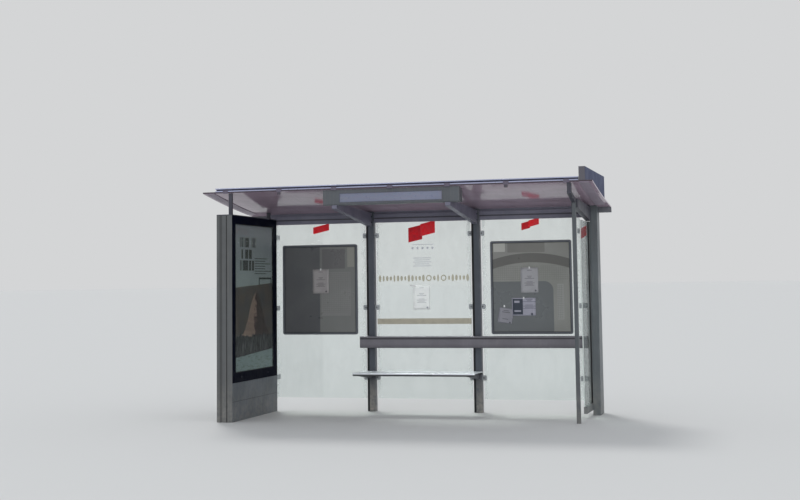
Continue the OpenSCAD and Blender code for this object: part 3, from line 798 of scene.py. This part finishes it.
def board_fittings(material, metal):
    """The dark seal inside each board's frame, and the screws in the frame."""
    half, foot, top = 466, 954, 2016
    screw_half, screw_rows = 478, (1000, 1485, 1970)
    lip = [(0, 0), (0, 6.5), (1.2, 7.4), (4, 6.6), (5, 3), (5, 0)]
    screws = []
    for name, x in (("left", -BAY), ("right", BAY)):
        seal = (on_back(BOARD_FACE), (x - half, foot), (x + half, top), 3, lip)
        made_of("board_seal_" + name, bead, [seal], material)
        for side in (-screw_half, screw_half):
            screws += [(at(x + side, BOARD_FRAME_FACE, z), FRONT, 4) for z in screw_rows]
    made_of("board_screws", flat_screw, screws, metal)


# Fittings of the rails, arms, roof and bench

def lean_rail_caps(material):
    """Moulded caps on both ends of the rail to lean on, each in two steps."""
    left, right, front, back, top, r = -765, 2006, -175, -130, 912, 12
    steps = []
    for x, out in ((left, -1), (right, 1)):
        for inset, low, high in ((0.5, 0.1, 1.4), (2.5, 1.4, 2.4)):
            corners = (front + inset, LEAN_RAIL_FOOT + inset), (back - inset, top - inset)
            steps.append((on_side(x, out), soft_corners(*corners, r - inset), low, high))
    made_of("lean_rail_caps", prism, steps, material)


def roof_fittings(metal):
    """The screws and rivets of the rail's clips, the end trims, the end panel and the light box."""
    clip_z, trim_lines, panel_face, panel_row, box_y, box_foot = 2636, (2144, 2230), 2202, 2770, -1330, 2446
    sides, trim_spots = (-1, 1), range(-1360, -160, 190)
    clips = [(at(i * POST_X, -ROOF_FRONT - 8, clip_z), FRONT, 4.5) for i in range(-3, 4)]
    trims = [(side * x, y, roof_under(y) - 6) for side in sides for x in trim_lines for y in trim_spots]
    panel = [(y, z) for y in (-1370, -1000, -620, -240, 130) for z in (panel_row, roof_under(y) + 38)]
    box = [(at(x, box_y, box_foot), DOWN, 5) for x in (-780, -620, 620, 780)]
    made_of("rail_clip_screws", flat_screw, clips, metal)
    made_of("trim_rivets", flat_screw, [(at(*spot), DOWN, 4) for spot in trims], metal)
    made_of("end_panel_screws", flat_screw, [(at(panel_face, y, z), RIGHT, 5) for y, z in panel], metal)
    made_of("light_box_screws", flat_screw, box, metal)


def clip_legs(material):
    """The longer lower ends of the two rail clips beside the light box."""
    half, foot, top, thick = 21, 2585, 2618, 6
    place = on_back(-ROOF_FRONT - 1)
    legs = [(place, soft_corners((x - half, foot), (x + half, top), 7), 0, thick) for x in (-BAY, BAY)]
    soften(made_of("rail_clip_legs", prism, legs, material), 0.0012)


def strip_bezel(material):
    """The thin aluminium frame round the lit strip."""
    face, half, foot, top = -1400, 605.2, 2470.8, 2581.2
    lip = [(0, 0), (0, 1.8), (0.8, 2.4), (6, 2.4), (7, 1.4), (7, -4.8), (5.2, -4.8), (5.2, 0)]
    bezel = (on_back(face), (-half, foot), (half, top), 3, lip)
    made_of("strip_bezel", bead, [bezel], material)


def arm_and_bench_bolts(metal):
    """The bolts beside the arms and the front post's head, and the screws in the bench."""
    arm_half, arm_y, head_x, head_half, head_y, bench_top = 30, -78, 2020, 22, -1380, 494
    arm_rows, head_rows = (2300, 2372), (2520, 2590)
    posts, sides = (-POST_X, POST_X), (-1, 1)
    arms = [(at(x + arm_half * s, arm_y, z), (s, 0, 0), 8) for x in posts for s in sides for z in arm_rows]
    head = [(at(head_x + head_half * s, head_y, z), (s, 0, 0), 6) for s in sides for z in head_rows]
    bench = [(at(x + 14 * s, y, bench_top), UP, 6) for x in posts for s in sides for y in (-185, -470)]
    made_of("arm_bolts", dome_bolt, arms, metal)
    made_of("front_post_head_bolts", dome_bolt, head, metal)
    made_of("bench_screws", flat_screw, bench, metal)


# Prints on the glass

def slanted(x0, x1, z0, z1, rise):
    """The outline of a foil whose lower and upper edges rise to the right."""
    return [(x0, z0), (x1, z0 + rise), (x1, z1), (x0, z1 - rise)]


def rounded_outline(outline):
    """Cuts the corners of a convex outline into short arcs."""
    r, steps = 6, 3
    points = []
    for i, corner in enumerate(outline):
        corner = Vector(corner)
        before = (Vector(outline[i - 1]) - corner).normalized() * r
        after = (Vector(outline[(i + 1) % len(outline)]) - corner).normalized() * r
        for k in range(steps + 1):
            t = k / steps
            point = corner + before * (1 - t) ** 2 + after * t ** 2
            points.append((point.x, point.y))
    return points


def red_marks(bright, deep):
    """Plain slanted red foils on the glass, some of them lying over another."""
    back, side, thick = on_back(PANE_FACE), on_side(SIDE_PANE_FACE, -1), 0.4
    for name, place, shape, lift, material in (
        ("left", back, (-1419, -1209, 2175, 2304, 45), 0, bright),
        ("middle_low", back, (-184, -8, 2046, 2262, 38), 0, deep),
        ("middle_high", back, (-30, 154, 2118, 2311, 42), thick, bright),
        ("right_low", back, (1223, 1330, 2163, 2275, 27), 0, deep),
        ("right_high", back, (1310, 1437, 2200, 2311, 32), thick, bright),
        ("side", side, (-573, -127, 2028, 2199, 55), 0, deep),
    ):
        outline = rounded_outline(slanted(*shape))
        made_of("red_foil_" + name, prism, [(place, outline, lift, lift + thick)], material)


def glass_row(material):
    """The row of pale ovals across the middle pane, with two rings among them."""
    pitch, middle, thick = 46, 1610, 0.35
    ring_half, ring_tall, hole = 36, 38, 0.62
    place = on_back(PANE_FACE)
    bm = bmesh.new()
    for i in range(-12, 13):
        if i in (1, 5):
            loops = []
            for size, lift in ((1, 0), (1, thick), (hole, thick), (hole, 0)):
                outline = oval((i + 0.5) * pitch, middle, size * ring_half, size * ring_tall)
                loops.append([bm.verts.new(place(u, v, lift)) for u, v in outline])
            join_loops(bm, loops + [loops[0]])
        elif i not in (2, 6):
            half, tall = 16 - 4 * (i % 3 == 1), 42 - 5 * (i % 4)
            prism(bm, place, oval(i * pitch, middle, half, tall), 0, thick)
    piece("oval_row", bm, material)


def glass_band(material):
    band = (on_back(PANE_FACE), soft_corners((-591, 1054), (591, 1122), 4), 0, 0.35)
    made_of("foil_band", prism, [band], material)


def glass_dots(material):
    """Five pale dots near the top of the middle pane, a fine line over them and five short ones below."""
    shapes = [oval(x, 1977, 15, 15, 20) for x in (-133, -69, -6, 57, 120)]
    shapes.append(soft_corners((-138, 2016), (140, 2022), 2))
    for z, half in ((1855, 112), (1831, 96), (1806, 114), (1782, 90), (1758, 112)):
        shapes.append(soft_corners((-14 - half, z - 4), (-14 + half, z + 4), 2))
    solids = [(on_back(PANE_FACE), shape, 0, 0.35) for shape in shapes]
    made_of("dot_row", prism, solids, material)


def paper(name, corner, size, material, face, turn, curl):
    """A sheet fixed to an upright face: its lower left corner, its size, its tilt in degrees, and how far
    its lower corners stand off, all in millimetres."""
    bm = bmesh.new()
    columns, rows = 8, 10
    grid = []
    for j in range(rows + 1):
        for i in range(columns + 1):
            s, t = i / columns, j / rows
            curled = (1 - t) ** 2.2 * (curl[0] * (1 - s) ** 2 + curl[1] * s ** 2)
            lift = 0.5 + curled + 0.5 * math.sin(math.pi * s) * (1 - t)
            grid.append(bm.verts.new(Vector((s * size[0], t * size[1], lift)) / 1000))
    wide = columns + 1
    for j in range(rows):
        for i in range(columns):
            a = j * wide + i
            bm.faces.new([grid[a], grid[a + 1], grid[a + wide + 1], grid[a + wide]])
    upright = Matrix(((1, 0, 0), (0, 0, -1), (0, 1, 0))).to_4x4()
    tilt = Matrix.Rotation(math.radians(turn), 4, "Z")
    place = Matrix.Translation(at(corner[0], face, corner[1])) @ upright @ tilt
    made = piece(name, bm, material, smooth=True, place=place)
    solid = made.modifiers.new("thickness", "SOLIDIFY")
    solid.thickness = 0.0003
    solid.offset = -1


def tapes(material):
    """Short strips of clear tape over the upper corners of the papers."""
    low, high = 0.2, 1.3
    strip = ((-9, -13), (8, -14), (9, 11), (-8, 12))
    strips = []
    for x, z in ((-1319, 1735), (1311, 1717), (1236, 1359), (1000, 1264)):
        strips.append((on_back(BOARD_FACE), [(x + u, z + v) for u, v in strip], low, high))
    strips.append((on_back(PANE_FACE), [(-172, 1512), (-96, 1505), (-96, 1521), (-172, 1528)], low, high))
    made_of("paper_tapes", prism, strips, material)


def papers():
    """The five notices, with their tones, rows of bars, dark part, tilt and curled corners."""
    a4, wide, small = (210, 297), (286, 210), (178, 178)
    for name, corner, size, ground, ink, face, rows, dark_part, turn, curl in (
        ("left", (-1424, 1438), a4, (162, 158, 158), (76, 76, 80), BOARD_FACE, 22, 0, 0, (1.5, 5)),
        ("middle", (-131, 1229), a4, (250, 250, 252), (104, 104, 118), PANE_FACE, 22, 0, 0, (3, 2)),
        ("right", (1206, 1420), a4, (168, 168, 172), (76, 76, 82), BOARD_FACE, 22, 0, 0, (2, 4)),
        ("wide", (1093, 1149), wide, (168, 168, 182), (52, 60, 74), BOARD_FACE, 16, 0.46, 0, (2, 3)),
        ("small", (914, 1074), small, (146, 146, 154), (74, 74, 82), BOARD_FACE, 9, 0, -8, (4, 7)),
    ):
        name = "notice_" + name
        thin = 1 if face == PANE_FACE else 0.05
        printed = notice(name + "_paper", ground, ink, size, rows, dark_part, thin)
        paper(name, corner, size, printed, face, turn, curl)


# Stage, light and camera

def make_stage():
    """A wide floor just below the ground."""
    bm = bmesh.new()
    bmesh.ops.create_circle(bm, cap_ends=True, segments=128, radius=900)
    mesh = bpy.data.meshes.new("floor")
    bm.to_mesh(mesh)
    bm.free()
    floor = put("floor", mesh)
    floor.location.z = -0.0005
    look = Look("floor_paint", Specular_IOR_Level=0.15, Roughness=0.85)
    look.paint((206, 206, 204))
    mesh.materials.append(look.material)


def make_light():
    """A pale sky, seen a little darker than it shines, and two soft suns."""
    world = bpy.data.worlds.new("studio")
    bpy.context.scene.world = world
    world.use_nodes = True
    tree = world.node_tree
    light = tree.nodes["Background"]
    feed(light.inputs["Color"], (226, 230, 236))
    feed(light.inputs["Strength"], 0.92)
    shown = add(tree, "Background", {"Color": (212, 213, 214)})
    rays = add(tree, "LightPath").outputs
    seen = rays["Is Camera Ray"]
    for kind in ("Is Transmission Ray", "Is Glossy Ray"):
        seen = add(tree, "Math", {0: seen, 1: rays[kind]}, operation="MAXIMUM").outputs[0]
    blend = add(tree, "MixShader", {0: seen, 1: light.outputs[0], 2: shown.outputs[0]})
    feed(tree.nodes["World Output"].inputs["Surface"], blend.outputs[0])
    for name, energy, spread, heading in (
        ("key", 1.1, 14, (0.45, -0.75, -1.15)),
        ("fill", 0.45, 16, (-0.35, 1, -0.17)),
    ):
        lamp = bpy.data.lights.new(name, "SUN")
        lamp.energy = energy
        lamp.angle = math.radians(spread)
        put(name, lamp).rotation_euler = Vector(heading).to_track_quat("-Z", "Y").to_euler()


def make_camera():
    """The photograph's viewpoint: eye height, some fifteen metres off, to the right of the middle."""
    place = (4.2593, -15.1772, 1.55)
    yaw, pitch, roll = 0.2785, 0.0874, -0.013
    ahead = Vector((-math.sin(yaw), math.cos(yaw), 0))
    side = Vector((math.cos(yaw), math.sin(yaw), 0))
    up = Vector(UP)
    look = math.cos(pitch) * ahead + math.sin(pitch) * up
    above = -math.sin(pitch) * ahead + math.cos(pitch) * up
    right = math.cos(roll) * side + math.sin(roll) * above
    top = -math.sin(roll) * side + math.cos(roll) * above
    data = bpy.data.cameras.new("camera")
    data.lens = 60.45
    data.sensor_width = 36
    data.shift_y = -0.1055
    data.clip_end = 2000
    camera = put("camera", data)
    turn = Matrix((right, top, -look)).transposed().to_4x4()
    camera.matrix_world = Matrix.Translation(place) @ turn
    bpy.context.scene.camera = camera


# Finishes on the CAD nodes

def left_map_and_reflections():
    """Blocks have two corners, a colour and a corner radius. Grids have two corners, a pitch and a colour."""
    blocks = (
        # This lighter block over the right half leaves the left half darker: painted shade.
        ((0, 0.9), (0.5, 2.05), (118, 120, 118), 0.004),
        ((0.03, 1.74), (0.33, 1.985), (97, 97, 98), 0.01),
        ((0.36, 1.76), (0.45, 2), (144, 145, 137), 0.006),
        ((0.02, 1.16), (0.4, 1.7), (129, 130, 128), 0.006),
    )
    # The grid copies a reflection in the board's glass: painted reflection.
    grids = [((0.03, 1.2), (0.39, 1.69), 0.024, (104, 106, 104))]
    return board_print_and_reflections("left_board_print_and_reflections", -BAY, ((90, 92, 94), (83, 85, 88)), blocks, grids)


def right_map_and_reflections():
    blocks = (
        # These blocks and grids copy reflections in the board's glass: painted reflections.
        ((-0.28, 1.9), (0.17, 2.05), (124, 124, 119), 0.006),
        ((-0.6, 0.8), (0.265, 1.555), (102, 107, 109), 0.11),
        ((0.31, 1.1), (0.39, 1.52), (156, 157, 153), 0.008),
        ((-0.45, 1.91), (-0.31, 2.02), (190, 191, 184), 0.006),
    )
    grids = (
        ((-0.46, 1.57), (0.44, 1.74), 0.026, (116, 119, 114)),
        ((0.31, 1.11), (0.38, 1.51), 0.021, (100, 104, 104)),
    )
    road = (1.835, 0.34, 0.055, (100, 100, 96))
    return board_print_and_reflections("right_board_print_and_reflections", BAY, ((146, 147, 142), (138, 140, 134)), blocks, grids, road)


def metal_finishes():
    """The painted and bare metals, each with the nodes that have it."""
    return {
        enamel("case_paint", (92, 94, 95), 0.46, dark=case_flutes): [
            "case_front_profile", "case_rear_profile",
        ],
        enamel("case_cap_paint", (70, 70, 80), 0.46): ["case_cap"],
        enamel("case_panel_paint", (80, 87, 96), 0.48, dark=panel_seam): ["case_core", "case_base_panels"],
        # The posts grow much paler towards the ground than the other metals.
        enamel("post_paint", (73, 79, 89), foot=0.95): ["post_left", "post_right"],
        enamel("end_post_paint", (94, 101, 105)): ["end_post", "side_pane_rail"],
        enamel("dark_paint", (64, 64, 76), 0.45): [
            "case_roof_stubs", "case_back_bracket", "bench_brackets", "lean_rail_brackets", "front_post_head",
        ],
        # Arms and beams are painted lighter than the posts' metal: painted light, offsetting the shade under
        # the roof.
        enamel("arm_paint", (115, 114, 131), 0.45): ["arm_left", "arm_right"],
        enamel("beam_paint", (123, 123, 139), 0.4, dark=beam_groove): [
            "beam_left", "beam_middle", "beam_right",
        ],
        enamel("light_box_paint", (89, 93, 98), 0.45): ["light_box_body", "light_box_ends"],
        enamel("trim_paint", (150, 138, 154), 0.5): ["roof_end_trims"],
        enamel("clip_paint", (102, 94, 112), 0.5): ["rail_clips"],
        enamel("gutter_paint", (106, 108, 115), 0.5): ["rear_gutter"],
        black_enamel("black_paint", (10, 13, 28)): ["case_door_inner", "case_door_outer"],
        sky_shaded_panel_paint("sky_shaded_panel_paint", (56, 66, 101), (104, 102, 108)): ["roof_end_panel"],
        anodised("lean_rail_metal", (119, 117, 124), 0.42, 0.4, "X", rail_groove): ["lean_rail"],
        anodised("clamp_metal", (168, 173, 177), 0.3, 0.35): ["pane_clamps"],
        anodised("board_frame_metal", (98, 102, 109), 0.42, 0.4): ["board_frame_left", "board_frame_right"],
        anodised("pole_metal", (90, 95, 99), 0.42, 0.3): ["front_post"],
        anodised("channel_metal", (120, 125, 126)): ["side_pane_channel"],
        # The bright lavender is the rail's pale metal and partly a painted sky highlight on the flanges.
        front_rail_lit_and_shaded("roof_rail_metal", (186, 190, 218)): ["front_rail"],
    }


def other_finishes():
    return {
        # The near-white colour is the bright steel and partly a painted sky sheen on the seat's top.
        stainless("bench_metal", (246, 250, 255)): ["bench_seat"],
        glossy_roof("roof_laminate", (170, 151, 166)): ["roof_sheet"],
        lit_plastic("opal_strip", (124, 128, 148)): ["light_box_strip"],
        glass("pane_glass", pane_rim): ["pane_left", "pane_middle", "pane_right"],
        glass("side_glass", side_pane_rim, thin_axis="X"): ["side_pane"],
        glass("case_door_glass", None, 0.02, thin_axis="X", ior=1.045): ["case_glass"],
        poster_print("poster_print"): ["poster_sheets"],
        left_map_and_reflections(): ["board_left"],
        right_map_and_reflections(): ["board_right"],
    }


def paint_nodes():
    metals = metal_finishes()
    for material, nodes in {**metals, **other_finishes()}.items():
        for node in nodes:
            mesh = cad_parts[node].data
            mesh.materials.clear()
            mesh.materials.append(material)
    for nodes in metals.values():
        for node in nodes:
            soften(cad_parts[node], 0.0015)
    soften(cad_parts["bench_seat"], 0.0012)


def make_fittings():
    black = rubber("black_rubber")
    # the strip's dark colour partly stands for painted shade in the post rebate
    grey = rubber("grey_cover", (30, 31, 34))
    steel = fastener("zinc_steel")
    dark_steel = fastener("dark_steel", (62, 64, 70))
    case_gaskets(black)
    case_fittings(dark_steel)
    post_strips(grey)
    channel_seal(black)
    clamp_bolts(steel)
    board_fittings(black, steel)
    lean_rail_caps(black)
    roof_fittings(steel)
    clip_legs(enamel("clip_leg_paint", (76, 70, 82), 0.5))
    strip_bezel(anodised("bezel_metal", (104, 106, 116), 0.35, along="X"))
    arm_and_bench_bolts(dark_steel)


def make_prints():
    bright = foil("red_foil", (255, 30, 44), (232, 58, 68))
    deep = foil("deep_red_foil", (226, 16, 34), (190, 30, 46))
    red_marks(bright, deep)
    glass_row(foil("pale_foil", (206, 203, 182), (190, 188, 168)))
    glass_band(foil("beige_foil", (192, 186, 168), (176, 170, 154)))
    glass_dots(foil("white_foil", (222, 226, 232), (206, 210, 216)))
    papers()
    tapes(foil("clear_tape", (236, 236, 236), (206, 206, 206)))


bpy.context.scene.view_settings.view_transform = "Standard"
make_camera()
make_stage()
make_light()
paint_nodes()
make_fittings()
make_prints()
